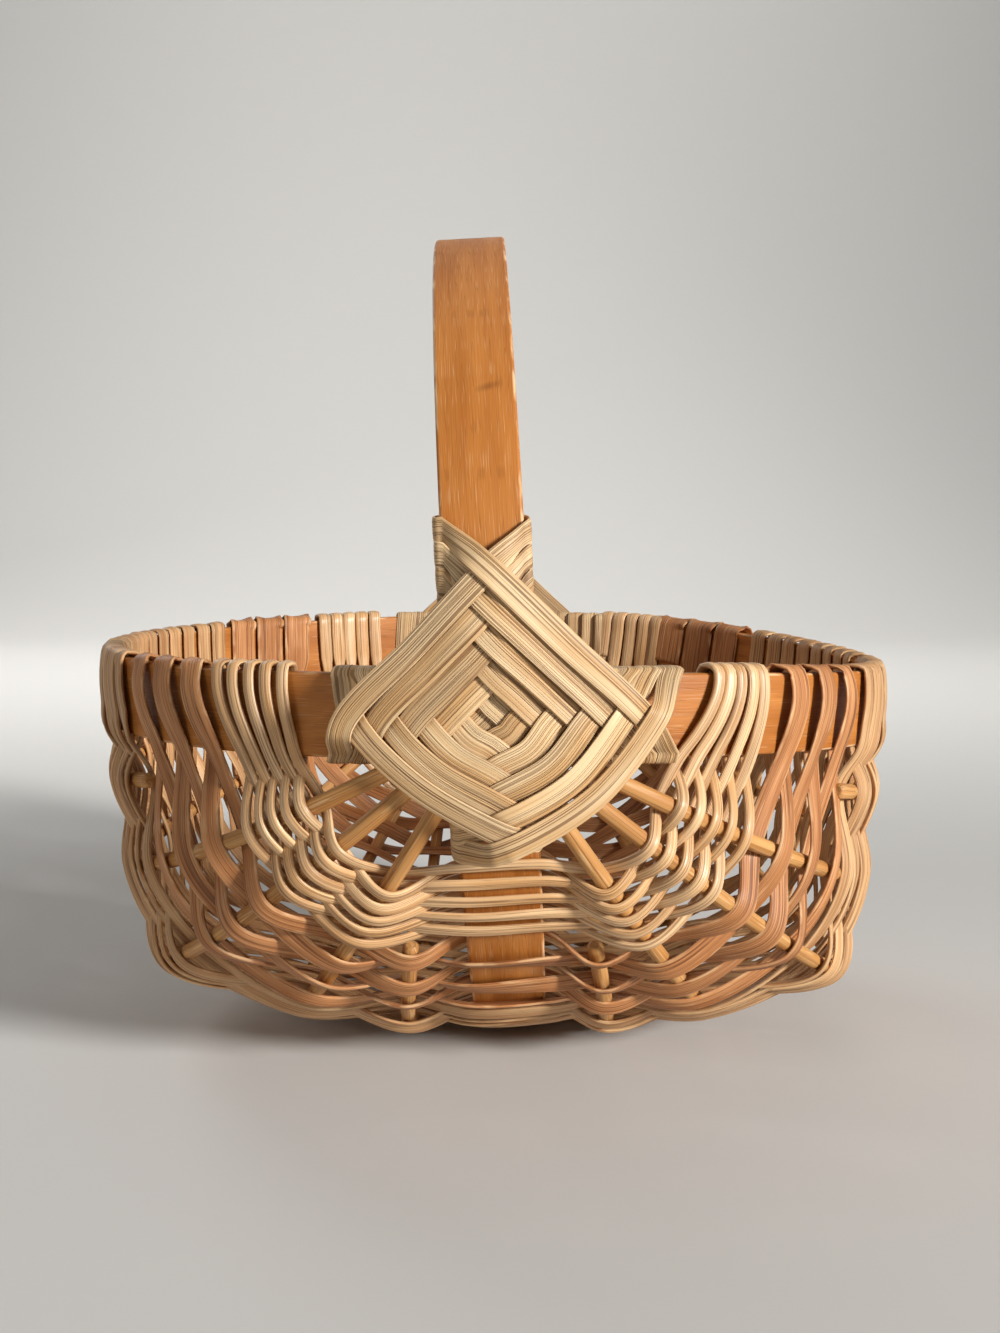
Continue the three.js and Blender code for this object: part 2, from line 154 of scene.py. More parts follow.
# Smooth line through stops: cubic pieces whose slopes come from the neighbouring stops, sampled evenly
def smoothLine(stops, values, step):
    chord = np.linalg.norm(np.diff(stops, axis=0), axis=1)
    knots = np.concatenate([[0], np.cumsum(np.sqrt(chord))])
    span = np.diff(knots)[:, None]
    rate = np.diff(stops, axis=0) / span
    middle = (rate[:-1] * span[1:] + rate[1:] * span[:-1]) / (span[1:] + span[:-1])
    slopes = np.concatenate([rate[:1], middle, rate[-1:]])
    length = np.concatenate([[0], np.cumsum(chord)])
    want = np.linspace(0, length[-1], int(length[-1] / step) + 2)
    place = np.interp(want, length, np.arange(len(stops)))
    i = np.minimum(place.astype(int), len(stops) - 2)
    f = (place - i)[:, None]
    h = span[i]
    line = (
        stops[i] * (2 * f**3 - 3 * f**2 + 1)
        + slopes[i] * h * (f**3 - 2 * f**2 + f)
        + stops[i + 1] * (3 * f**2 - 2 * f**3)
        + slopes[i + 1] * h * (f**3 - f**2)
    )
    shares = [f if v.ndim > 1 else f[:, 0] for v in values]
    return line, [v[i] * (1 - share) + v[i + 1] * share for v, share in zip(values, shares)]


# Section carried along a line: each ring is the line's point plus across and normal times the section
def sweep(line, across, section, wide=1.0, thick=1.0, tilt=0.0, square=True):
    forward = unit(np.gradient(line, axis=0))
    if square:
        across = unit(across - np.sum(across * forward, -1, keepdims=True) * forward)
    normal = unit(np.cross(forward, across))
    tilt = np.broadcast_to(tilt, len(line))[:, None]
    c, s = np.cos(tilt), np.sin(tilt)
    across, normal = across * c - normal * s, normal * c + across * s
    wide = np.broadcast_to(wide, len(line))[:, None, None]
    thick = np.broadcast_to(thick, len(line))[:, None, None]
    return line[:, None] + across[:, None] * section[:, :1] * wide + normal[:, None] * section[:, 1:] * thick


pieces = []
grainStart = 1370  # mm between the stretches of grain that two pieces are cut from


# Grid of rings as one closed mesh, with a UV map in mm round and along the piece, a number for each strand
# and a mark on its edges
def reedMesh(name, rings, strand, edge, closed=False):
    n, m = rings.shape[:2]
    count = n if closed else n - 1
    i, j = np.meshgrid(np.arange(count), np.arange(m), indexing="ij")
    i, j = i.ravel(), j.ravel()
    corners = [(i, j), (i, j + 1), (i + 1, j + 1), (i + 1, j)]
    quads = np.stack([(a % n) * m + b % m for a, b in corners], -1)
    around = np.linalg.norm(np.roll(rings[0], -1, 0) - rings[0], axis=1)
    aroundAt = np.concatenate([[0], np.cumsum(around)])
    middles = rings.mean(1)
    ahead = np.linalg.norm(np.roll(middles, -1, 0) - middles, axis=1)
    aheadAt = np.concatenate([[0], np.cumsum(ahead)]) + grainStart * len(pieces)
    uv = np.stack([np.stack([aroundAt[b], aheadAt[a]], -1) for a, b in corners], 1)
    loops, totals, uvs = [quads.ravel()], [np.full(len(quads), 4)], [uv.reshape(-1, 2)]
    if not closed:
        for ring, order in ((0, np.arange(m)[::-1]), (n - 1, np.arange(m))):
            loops.append(ring * m + order)
            totals.append(np.array([m]))
            uvs.append(np.stack([aroundAt[order], np.full(m, aheadAt[ring])], -1))
    loops, totals, uvs = (np.concatenate(part) for part in (loops, totals, uvs))
    mesh = bpy.data.meshes.new(name)
    points = toRow(rings.reshape(-1, 3))
    mesh.vertices.add(len(points))
    mesh.vertices.foreach_set("co", points.ravel())
    mesh.loops.add(len(loops))
    mesh.loops.foreach_set("vertex_index", loops.astype(np.int32))
    mesh.polygons.add(len(totals))
    mesh.polygons.foreach_set("loop_start", np.concatenate([[0], np.cumsum(totals)[:-1]]).astype(np.int32))
    mesh.polygons.foreach_set("loop_total", totals.astype(np.int32))
    mesh.polygons.foreach_set("use_smooth", totals == 4)
    mesh.uv_layers.new(name="grain").data.foreach_set("uv", uvs.ravel())
    number = mesh.attributes.new("strand", "FLOAT", "POINT")
    number.data.foreach_set("value", np.repeat(np.broadcast_to(strand, n), m))
    mark = mesh.attributes.new("edge", "FLOAT", "POINT")
    mark.data.foreach_set("value", np.tile(np.broadcast_to(edge, m), n))
    mesh.update(calc_edges=True)
    return mesh


def addPiece(name, rings, strand, edge, material, closed=False):
    piece = bpy.data.objects.new(name + "_look", reedMesh(name, rings, strand, edge, closed))
    bpy.context.collection.objects.link(piece)
    pieces.append(piece)
    piece.data.materials.append(material)
    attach(piece, "root")
    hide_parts(name)


def mirrored(rings):  # seen in a mirror from front to back, with the faces turned to point outwards again
    return (rings * np.array([1, -1, 1]))[:, ::-1]


# Materials
def linear(hexColour):  # sRGB hex to the linear colour that sockets take
    part = np.array([int(hexColour[k : k + 2], 16) for k in (1, 3, 5)]) / 255
    part = np.where(part <= 0.04045, part / 12.92, ((part + 0.055) / 1.055) ** 2.4)
    return (*part.tolist(), 1.0)


def addNode(tree, kind, inputs, **settings):  # a node with its settings, its values and its links
    made = tree.nodes.new(kind)
    for key, value in settings.items():
        setattr(made, key, value)
    for key, value in inputs.items():
        if isinstance(value, bpy.types.NodeSocket):
            tree.links.new(value, made.inputs[key])
        else:
            made.inputs[key].default_value = value
    return made


def plainTree(name):
    material = bpy.data.materials.new(name)
    material.use_nodes = True
    tree = material.node_tree
    shader = tree.nodes["Principled BSDF"]
    return material, tree, shader


# Values that all looks share. A pattern fades in between two values of its noise
grain = {
    "tone": (0.35, 0.65),
    "pores": (0.48, 0.7),
    "poreFiner": (0.75, 0.5),  # width and length of the soft pores, as shares of the sharp lines
    "flecks": (0.66, 0.74),
    "wearAndHighlightPatches": (0.45, 0.62),
    # pale edge patches: rubbed wear on the wood, a painted highlight on the reeds
    "wearAndHighlightPatchSize": (2.5, 9),
    "lineCore": 1 / 3,  # share of a line that is fully dark
    "knot": (0.2, 1.1),  # shares of a knot's half size
    "knotShare": 0.5,
    "dull": (0.3, 0.7),  # pores between which the roughness goes from its first to its last value
    "ior": 1.5,
    "coatRoughness": 0.3,
}


# Reed and wood: thin dark fibres along the strand, slow changes of tone, edges paler (rubbed wear on the
# wood, a painted highlight on the reeds), knots if any, and each strand a little lighter or darker. The
# patterns are noise stretched to widths and lengths in mm
def grainMaterial(look):
    material, tree, shader = plainTree(look["name"])
    grainMap = addNode(tree, "ShaderNodeUVMap", {}, uv_map="grain").outputs[0]
    strand = addNode(tree, "ShaderNodeAttribute", {}, attribute_name="strand").outputs["Fac"]
    edge = addNode(tree, "ShaderNodeAttribute", {}, attribute_name="edge").outputs["Fac"]
    finer, shorter = grain["poreFiner"]
    sizes = {  # width, length and detail
        "lines": (look["poreWidth"], look["poreLength"], 0),
        "pores": (look["poreWidth"] * finer, look["poreLength"] * shorter, 1),
        "tone": (look["toneWidth"], look["toneLength"], 1),
        "flecks": (look["fleckWidth"], look["fleckLength"], 0),
        "wearAndHighlightPatches": (*grain["wearAndHighlightPatchSize"], 2),
    }
    noise = {}
    for name, (across, along, detail) in sizes.items():
        inputs = {0: grainMap, 1: (1 / across, 1 / along, 1)}
        place = addNode(tree, "ShaderNodeVectorMath", inputs, operation="MULTIPLY").outputs[0]
        inputs = {"Vector": place, "Scale": 1, "Detail": detail}
        noise[name] = addNode(tree, "ShaderNodeTexNoise", inputs).outputs["Fac"]
    # a fibre is a thin line where its noise passes the middle value
    off = addNode(tree, "ShaderNodeMath", {0: noise["lines"], 1: 0.5}, operation="SUBTRACT").outputs[0]
    off = addNode(tree, "ShaderNodeMath", {0: off}, operation="ABSOLUTE").outputs[0]
    fade = (look["poreLine"] * grain["lineCore"], look["poreLine"])
    # share of pale colour along the edges: rubbed wear on the wood, a painted highlight on the reeds
    edgeWearAndHighlight = addNode(tree, "ShaderNodeMath", {0: edge, 1: look["edgeWearAndHighlightShare"]}, operation="MULTIPLY").outputs[0]
    layers = [  # a pattern, the values it fades between, its shares of the colour there, and its own colour
        (noise["tone"], grain["tone"], (0, 1), "deep"),
        (noise["pores"], grain["pores"], (0, look["poreShare"] / 2), "pore"),
        (off, fade, (look["poreShare"], 0), "pore"),
        (noise["flecks"], grain["flecks"], (0, look["fleckShare"]), "fleck"),
        # pale edge patches: rubbed wear on the wood, a painted highlight on the reeds
        (noise["wearAndHighlightPatches"], grain["wearAndHighlightPatches"], (0, edgeWearAndHighlight), "fleck"),
        (strand, (0, 1), (0, look["strandShare"]), "pore"),
    ]
    for around, along, turned, size in look.get("knots", []):
        at, turn = (around, along, 0), (0, 0, turned)
        inputs = {"Vector": grainMap, "Location": at, "Rotation": turn, "Scale": size}
        place = addNode(tree, "ShaderNodeMapping", inputs, vector_type="TEXTURE").outputs[0]
        far = addNode(tree, "ShaderNodeVectorMath", {0: place}, operation="LENGTH").outputs["Value"]
        layers.append((far, grain["knot"], (grain["knotShare"], 0), "pore"))
    colour = linear(look["pale"])
    for value, (low, high), (first, last), tint in layers:
        inputs = {"Value": value, "From Min": low, "From Max": high, "To Min": first, "To Max": last}
        share = addNode(tree, "ShaderNodeMapRange", inputs).outputs[0]
        inputs = {0: share, 6: colour, 7: linear(look[tint])}
        colour = addNode(tree, "ShaderNodeMix", inputs, data_type="RGBA").outputs[2]
    tree.links.new(colour, shader.inputs["Base Color"])
    (low, high), (first, last) = grain["dull"], look["roughness"]
    inputs = {"Value": noise["pores"], "From Min": low, "From Max": high, "To Min": first, "To Max": last}
    tree.links.new(addNode(tree, "ShaderNodeMapRange", inputs).outputs[0], shader.inputs["Roughness"])
    inputs = {"Value": off, "From Min": fade[0], "From Max": fade[1], "To Min": 1, "To Max": 0}
    groove = addNode(tree, "ShaderNodeMapRange", inputs).outputs[0]
    inputs = {0: noise["pores"], 1: groove}
    height = addNode(tree, "ShaderNodeMath", inputs, operation="SUBTRACT").outputs[0]
    depth = look["poreWidth"] / 2000  # half a pore's width, in metres
    inputs = {"Height": height, "Strength": look["bump"], "Distance": depth}
    tree.links.new(addNode(tree, "ShaderNodeBump", inputs).outputs[0], shader.inputs["Normal"])
    shader.inputs["IOR"].default_value = grain["ior"]
    shader.inputs["Specular IOR Level"].default_value = look["gloss"]
    shader.inputs["Coat Weight"].default_value = look["coat"]
    shader.inputs["Coat Roughness"].default_value = grain["coatRoughness"]
    return material


bentWoodLook = {  # ash strip, steamed, bent and varnished: faint long pores, satin gloss, edges rubbed pale
    "name": "varnished_bent_ash",
    "pale": "#BA7636",
    "deep": "#A66327",
    "pore": "#6B3A16",
    "fleck": "#EBC698",
    "poreWidth": 0.8,
    "poreLength": 26,
    "poreLine": 0.04,
    "poreShare": 0.2,
    "toneWidth": 6,
    "toneLength": 70,
    "fleckWidth": 0.3,
    "fleckLength": 9,
    "fleckShare": 0.16,
    "edgeWearAndHighlightShare": 0.8,
    "strandShare": 0.0,
    "knots": [(7.4, 703, 0.3, (3.8, 1.4, 1))],  # round and along the hoop, turn, and half size
    "roughness": (0.42, 0.52),
    "gloss": 0.25,
    "bump": 0.2,
    "coat": 0.03,
}
ribReedLook = {  # round rattan core, bare: even tan with fine lengthwise fibres
    "name": "round_rattan_core",
    "pale": "#CF9B5E",
    "deep": "#B57D42",
    "pore": "#7A4A22",
    "fleck": "#EFCB99",
    "poreWidth": 0.8,
    "poreLength": 120,
    "poreLine": 0.055,
    "poreShare": 0.4,
    "toneWidth": 4,
    "toneLength": 40,
    "fleckWidth": 0.5,
    "fleckLength": 12,
    "fleckShare": 0.3,
    "edgeWearAndHighlightShare": 0.0,
    "strandShare": 0.2,
    "roughness": (0.5, 0.62),
    "gloss": 0.3,
    "bump": 0.4,
    "coat": 0.05,
}
lashReedLook = dict(  # flat rattan, split and bare: pale straw with dark open fibres, dull
    ribReedLook,
    name="flat_rattan",
    pale="#EBCB9D",
    deep="#D5A973",
    pore="#673E1A",
    poreWidth=0.62,
    poreLength=170,
    poreLine=0.075,
    poreShare=0.72,
    # painted highlight along the reed's edges
    edgeWearAndHighlightShare=0.3,
    strandShare=0.25,
    bump=0.6,
)
lightReedLook = dict(  # thin peeled rattan: cream, smooth and a little glossy, with brown fibres
    ribReedLook,
    name="peeled_rattan",
    pale="#EAC190",
    deep="#CF9D66",
    pore="#6B421D",
    poreShare=0.65,
    strandShare=0.2,
    # painted highlight along the reed's edges
    edgeWearAndHighlightShare=0.3,
    roughness=(0.38, 0.5),
    gloss=0.5,
    coat=0.12,
)
redReedLook = dict(  # flat-oval rattan, smoked: red brown with dark fibres and a painted highlight along its pale edges
    ribReedLook,
    name="smoked_flat_oval_rattan",
    pale="#D0925E",
    deep="#AE703F",
    pore="#663818",
    fleck="#E9BE8C",
    poreShare=0.75,
    edgeWearAndHighlightShare=0.7,
    strandShare=0.3,
)
tanReedLook = dict(  # flat-oval rattan, bare: light brown
    ribReedLook,
    name="flat_oval_rattan",
    pale="#E6B985",
    deep="#CA9563",
    pore="#643B19",
    poreShare=0.65,
    # painted highlight along the reed's edges
    edgeWearAndHighlightShare=0.5,
    strandShare=0.3,
)
bentWood = grainMaterial(bentWoodLook)
ribReed = grainMaterial(ribReedLook)
lashReed = grainMaterial(lashReedLook)
strandReeds = {
    "light": grainMaterial(lightReedLook),
    "red": grainMaterial(redReedLook),
    "tan": grainMaterial(tanReedLook),
}
print("materials made")


# Four waves, 2 to 5 to a round, the quicker ones weaker
def slowWave(angle, seed, size):
    phase = np.random.default_rng(seed).uniform(0, 2 * np.pi, 4)
    return size * sum(np.sin((k + 2) * angle + phase[k]) / (k + 1.5) for k in range(4))


# Hoops: a rounded bar carried round each ellipse. Slow waves move its faces and edges as hand-bent wood does
def bentStrip(name, strip, pointAt):
    turn = np.linspace(0, 2 * np.pi, strip["steps"], endpoint=False)[:, None]
    bar = roundBar(strip["width"], strip["thickness"], strip["edge"])
    corners = np.tile(np.sin(np.linspace(0, np.pi, len(bar) // 4)), 4)  # most worn half way round a corner
    edgeSeed, faceSeed = strip["seeds"]
    across = bar[:, 0] + slowWave(turn, edgeSeed, strip["wobble"])
    off = bar[:, 1] - strip["thickness"] / 2 + slowWave(turn, faceSeed, strip["wobble"] / 2)
    addPiece(name, pointAt(turn, off, across), strip["tone"], corners, bentWood, closed=True)


bentStrip("handle_hoop", hoop, hoopPoint)
bentStrip("rim_hoop", rim, lambda turn, off, up: rimPoint(1, turn, off, up))
print("hoops made")

pad = {"start": 3.4, "turns": 4, "pitch": 6.1}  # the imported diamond
padSize = pad["start"] + pad["turns"] * pad["pitch"] * math.sqrt(2)  # its half diagonal
keelZero = math.asin(hoop["rise"] / hoopB)
keelRadius = (hoopA + hoopB) / 2
rimRadius = (rimA + rimB) / 2

# Ribs: round reed along an arc from front to back, with faint lengthwise facets and blunt rounded ends
rib = {
    "diameter": 4.4,
    "tuck": 5.5,  # length of a rib's end under the lashing
    "tipGap": 1.6,  # between a filler rib's tip and the last strand in front of it
    "steps": 220,
    "sides": 26,
    "facet": 0.018,  # share of the radius
    "facetWaves": ((7, 1), (11, 0.6)),  # facets round the rib and their strength
    "blunt": 1.2,  # length of the rounded end
    "tip": 0.35,  # share of the section's area left at the very end
    "wobble": 0.12,
    "firstTone": 0.2,
    "toneStep": 0.15,
    "firstSeed": 40,
}
# out and down are shares of the rim's half span and the bowl's depth where an arc passes the middle. place
# goes from 0 at the rim to 1 at the keel, and a bow under 1 takes the arc out sooner. A filler starts after a
# band of strands
ribTable = [
    {"name": "upper_filler_rib", "out": 0.9715, "down": 0.2883, "inset": 3.5, "place": 0.17, "after": "red"},
    {"name": "upper_rib", "out": 0.9429, "down": 0.5405, "inset": 0.5, "place": 0.33},
    {"name": "middle_rib", "out": 0.8776, "down": 0.8198, "inset": 0.5, "place": 0.5},
    {"name": "lower_rib", "out": 0.5388, "down": 0.946, "inset": 0.5, "place": 0.67},
    {
        "name": "lower_filler_rib",
        "out": 0.2531,
        "down": 1,
        "inset": 0.5,
        "place": 0.83,
        "bow": 0.5,
        "after": "light",
    },
]
ribRadius = rib["diameter"] / 2
for one in ribTable:
    one["out"] *= rimA
    one["down"] *= bowlDepth
    one["reach"] = hoopA - one["inset"]


# A rib's middle line: an arc that follows the rim's tilt and, near the keel, the keel's lean
def ribPoint(one, side, t):
    out = one["out"] * np.sin(t) ** one.get("bow", 1)
    raised = hoop["rise"] * (1 - np.sin(t)) if "bow" in one else 0
    down = one["down"] * np.sin(t) - raised + side * rim["endDrop"] * (out / rimA) ** 3
    return stack(side * out + down * math.tan(hoop["lean"]) * one["place"], -one["reach"] * np.cos(t), -down)


# Weave: each strand goes over and under the ribs from rim to rim, turns over the rim and comes back
weave = {
    "gap": 0.15,  # between a strand and what it passes
    "edge": 0.5,  # how far past the edge of a flat hoop a strand bends
    "rimStart": 51,  # first strand on the rim, from the middle of the crossing
    "keelStart": padSize + 1.5,
    "bandGap": 3.2,
    "rowsPerLength": 4,
    "splice": 0.35,
    "middleShare": 0.65,  # of a tan row's step, between the last row and the middle
    "uneven": 0.12,  # share of a row's pitch
    "widthChange": (-0.1, 0.08),
    "faceStops": (-0.4, 0.1, 0.6),  # up the rim's face, as shares of its half width
    "bulgeShares": (0, 0.7, 1, 0.8),  # at the rim's lower edge and these stops
    "insideBulge": 0.3,  # of the bulge outside
    "loopRise": 0.7,  # of a loop above the rim
    "loopOut": 0.3,  # of a loop's shoulders beside the rim
    "corner": 0.5,  # radius of the corner that a loop bends round
    # share of the way to the next row at the stops of a turn over the rim
    "turnShares": (0, 0.07, 0.14, 0.21, 0.28, 0.4, 0.6, 0.72, 0.79, 0.86, 0.93, 1),
    "leanPower": 1.5,  # over 1, a strand leans most at the foot of the rim
    "twistWaves": ((1, 19, 7), (0.6, 31, 3)),  # share, length and phase for each strand's number
    "rimTwist": 0.2,  # share of the twist that is left on the rim
    "ridgeHeight": 0.05,
    "facePoints": 7,  # across a reed's face, besides two for each ridge
    "step": 1.3,
}
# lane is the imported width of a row; width and thickness are the reed's own. For the right (1) and the left
# (-1) rim, shift moves the first row, squeeze draws the rows together, and slant is how far the first and the
# last row lean away from the lashing on their way up the rim, in mm. At the back the rows start closer to the
# handle and spread more on the rim
backSlant = {1: (2, 2), -1: (2, 2)}
bands = {
    "light": {
        "lane": 2.1,
        "rowGap": 0.66,
        "rows": 10,
        "fillers": [],
        "width": 3.3,
        "thickness": 1.7,
        "power": 2.4,
        "ridges": 3,
        "rimFuller": 1.05,  # the reed spreads where it turns over the rim
        "bulge": 1.3,  # of the strand off the rim's face
        "twist": 0.2,
        "shift": {1: -4.7, -1: -2},
        "squeeze": {1: 1.0, -1: 0.75},
        "slant": {1: (12.5, 2.8), -1: (3.3, 8.9)},
        "back": {
            "shift": {1: -5, -1: -5},
            "squeeze": {1: 1.0, -1: 1.0},
            "slant": backSlant,
            "rimFuller": 1.5,
        },
    },
    "red": {
        "lane": 5.6,
        "rowGap": 1.0,
        "rows": 6,
        "fillers": ["lower_filler_rib"],
        "width": 6.2,
        "thickness": 1.3,
        "power": 2.8,
        "ridges": 5,
        "rimFuller": 1.25,
        "bulge": 2.0,
        "twist": 0.3,
        "shift": {1: -2, -1: -7.5},
        "squeeze": {1: 1.0, -1: 1.0},
        "slant": {1: (6.5, 5.5), -1: (6.5, 5.5)},
        "back": {"shift": {1: -5, -1: -5}, "slant": backSlant, "rimFuller": 1.9},
    },
    "tan": {
        "lane": 3.6,
        "rowGap": 0.6,
        "rows": 16,
        "fillers": ["lower_filler_rib", "upper_filler_rib"],
        "width": 5.2,
        "thickness": 1.4,
        "power": 2.8,
        "ridges": 5,
        "rimFuller": 1.3,
        "bulge": 1.0,
        "twist": 0.3,
        "shift": {1: 0, -1: -4},
        "squeeze": {1: 1.0, -1: 1.06},
        "slant": {1: (5, 0), -1: (5, 0)},
        "back": {
            "shift": {1: -4, -1: -4},
            "squeeze": {1: 1.06, -1: 1.06},
            "slant": backSlant,
            "rimFuller": 1.25,
        },
    },
}
rimEdge, keelEdge = weave["rimStart"], weave["keelStart"]
rng = np.random.default_rng(21)
for band in bands.values():
    pitch = band["lane"] + band["rowGap"]
    band["rimFirst"] = (rimEdge + band["lane"] / 2) / rimRadius
    band["keelFirst"] = keelZero + (keelEdge + band["lane"] / 2) / keelRadius
    band["rimStep"] = pitch / rimRadius
    band["keelStep"] = pitch / keelRadius
    band["jitter"] = rng.uniform(-1, 1, (band["rows"] + 2, 2)) * weave["uneven"]
    band["widths"] = 1 + rng.uniform(*weave["widthChange"], band["rows"])
    band["tones"] = rng.uniform(0, 1, band["rows"])
    rimEdge += pitch * (band["rows"] - 1) + band["lane"] + weave["bandGap"]
    keelEdge += pitch * (band["rows"] - 1) + band["lane"] + weave["bandGap"]
tan = bands["tan"]  # these rows spread evenly from the band before to the middle of the basket
tanSteps = tan["rows"] - 1 + weave["middleShare"]
tan["rimStep"] = (math.pi / 2 - tan["rimFirst"]) / tanSteps
tan["keelStep"] = (math.pi / 2 - tan["keelFirst"]) / tanSteps


def rowAngle(band, row, place, side):  # angle of a row part of the way from the rim to the keel
    uneven = band["jitter"][row + 1]
    shift, squeeze = band["shift"][side] / rimRadius, band["squeeze"][side]
    atRim = band["rimFirst"] + shift + (row + uneven[0]) * band["rimStep"] * squeeze
    atKeel = band["keelFirst"] + (row + uneven[1]) * band["keelStep"]
    return atRim + (atKeel - atRim) * place


# A rib that bulges is crossed sooner, so that the strand takes the short way
def ribAngle(band, row, one, side):
    t = rowAngle(band, row, one["place"], side)
    return t - (1 - rimA / math.hypot(one["out"], one["down"])) * math.sin(t) * math.cos(t)


def ribStart(one):  # under the lashing, or just behind the last strand of the band before it
    if "after" in one:
        band = bands[one["after"]]
        return ribAngle(band, band["rows"] - 1, one, -1) + (band["lane"] / 2 + rib["tipGap"]) / one["reach"]
    radius = math.hypot(one["out"], one["down"])
    return math.asin((padSize * radius / (one["out"] + one["down"]) - rib["tuck"]) / radius)


for sideName, side in (("right", 1), ("left", -1)):
    for k, one in enumerate(ribTable):
        start = ribStart(one)
        t = np.linspace(start, np.pi - start, rib["steps"])
        line = ribPoint(one, side, t)
        line[:, 2] += slowWave(t, rib["firstSeed"] + k, rib["wobble"]) * np.sin(t) ** 2
        hint = np.broadcast_to(np.array([side * one["out"], 0.0, -one["down"]]), line.shape)
        a = np.linspace(0, 2 * np.pi, rib["sides"], endpoint=False)
        waves = enumerate(rib["facetWaves"], 1)
        facet = 1 + rib["facet"] * sum(share * np.cos(count * a + m * k) for m, (count, share) in waves)
        section = ribRadius * facet[:, None] * np.stack([np.cos(a), np.sin(a)], -1)
        fromEnd = np.minimum(t - start, np.pi - start - t) * one["reach"]
        blunt = np.sqrt(np.clip(1 - (1 - np.clip(fromEnd / rib["blunt"], 0, 1)) ** 2, rib["tip"], 1))
        rings = sweep(line, hint, section, blunt, blunt)
        tone = rib["firstTone"] + rib["toneStep"] * k
        addPiece(f"{sideName}_{one['name']}", rings, tone, 0, ribReed)
print("ribs made")


# Lashing: one flat reed that goes clockwise round the four arms of the crossing, further out each time.
# Each quarter turn is pulled taut over the wood, the rib ends and the turns that are already there
lash = {
    "width": 6.5,
    "thickness": 1.0,
    "start": 2.4,  # from the middle of the crossing to the first pass over an arm
    "growth": 2.08,  # each quarter turn
    "quarters": 19,
    "armShare": (1.0, 1.0, 0.8, 1.0),  # handle, right rim, keel, left rim: the keel curves away below
    "gap": 0.3,
    "clear": 0.05,  # between the reed and what it lies on
    "liftShare": 0.7,  # of what still stands above the reed's underside
    "twist": 2.1,  # most that one edge of the reed lies below the other
    "fold": 10,  # length over which the reed's end turns to the edge of an arm
    "bow": (1.0, 1.32, 1.25, 1.0),  # 1 is straight; upper right, lower right, lower left, upper left
    "faceEnd": 0.94,  # share of an arm's half width where a quarter turn starts and ends
    "wrapEnd": (44, 43.5, 34, 42.5),  # last wrap on each arm
    "wrapPitch": (6.2, 6.0, 4.6, 6.0),
    "wrapBack": 0.3,  # share of a wrap's pitch that the reed has moved when it is back on the face
    "wrapTurn": (0, 0, 0.05, 0.1, 0.2, 0.25),  # the same at six stops round the arm
    "wrapMove": (0.5, 1, 1.5, 2, 2, 1.5),  # times the slant, at these stops
    "backStop": 0.6,  # share of an arm's half width
    "cornerShare": 0.6,  # of a wrap's distance from an arm, both ways at the arm's corners
    "wrapLayer": 0.12,  # how much further out each wrap lies than the one before
    "wrapSlant": (2.4, 0.6, 0.3, 0.6),  # how far a wrap moves outwards on its way round an arm's edge
    "power": 3.2,
    "ridges": 7,
    "ridgeHeight": 0.05,
    "perFace": 23,
    "widthWaves": ((0.04, 37, 1), (0.03, 11, 0)),  # share, length and phase
    "faceStep": 0.8,
    "step": 1.0,
    "smooth": 7,  # stops over which a taut line is rounded
    "cell": 0.5,  # of the height map of what is wound so far
    "reach": 64,
    "samples": 13,  # across a reed or a rib
    "ribReach": 0.55,  # angle on a rib past which no lashing lies
    "ribSteps": 160,
}
leanWay = np.array([-math.sin(hoop["lean"]), 0, math.cos(hoop["lean"])])
armWays = [leanWay, np.array([1.0, 0, 0]), -leanWay, np.array([-1.0, 0, 0])]
armHalf = [hoopHalf, rimHalf, hoopHalf, rimHalf]
armThick = [hoop["thickness"], rim["thickness"], hoop["thickness"], rim["thickness"]]


# A place on one of the four arms: along it from the middle, clockwise across it, and off its outer face
def armPoint(arm, away, clockwise, off):
    if arm == 0:
        return hoopPoint(keelZero - away / keelRadius, off, clockwise)
    if arm == 1:
        return rimPoint(1, away / rimRadius, off, -clockwise)
    if arm == 2:
        return hoopPoint(keelZero + away / keelRadius, off, -clockwise)
    return rimPoint(-1, away / rimRadius, off, clockwise)


def wrapOut(arm, turn):  # where the wrap of a turn lies on an arm
    return lash["wrapEnd"][arm] - (lash["quarters"] // 4 - turn) * lash["wrapPitch"][arm]


# Height map in front of the crossing: the faces of the two hoops and the ends of the ribs
def crossingHeights():
    axis = np.arange(-lash["reach"], lash["reach"] + lash["cell"], lash["cell"])
    x, z = np.meshgrid(axis, axis, indexing="ij")
    across = x * math.cos(hoop["lean"]) + z * math.sin(hoop["lean"])
    high = z * math.cos(hoop["lean"]) - x * math.sin(hoop["lean"])
    overHandle = hoopA * np.sqrt(1 - ((high - hoop["rise"]) / hoopB) ** 2)
    overRim = rimB * np.sqrt(1 - (x / rimA) ** 2)
    heights = np.where(np.abs(z) <= rimHalf + lash["cell"], overRim, 0.0)
    heights = np.where(np.abs(across) <= hoopHalf + lash["cell"], overHandle, heights)
    for one in ribTable:
        if "after" in one:
            continue
        t = np.linspace(ribStart(one), lash["ribReach"], lash["ribSteps"])
        for side in (1, -1):
            line = ribPoint(one, side, t)
            forward = slope(lambda a: ribPoint(one, side, a), t)
            level = unit(np.cross(forward, [0.0, 1.0, 0.0]))
            q = np.linspace(-ribRadius, ribRadius, lash["samples"])
            strip = line[:, None] + level[:, None] * q[None, :, None]
            stamp(heights, strip, -strip[..., 1] + np.sqrt(np.maximum(ribRadius**2 - q**2, 0)))
    return heights


def cellOf(points):
    place = np.rint((points[..., [0, 2]] + lash["reach"]) / lash["cell"]).astype(int)
    return np.clip(place, 0, int(2 * lash["reach"] / lash["cell"]))


def stamp(heights, points, height):  # raise the map to a height at these points
    cell = cellOf(points)
    np.maximum.at(heights, (cell[..., 0], cell[..., 1]), height)


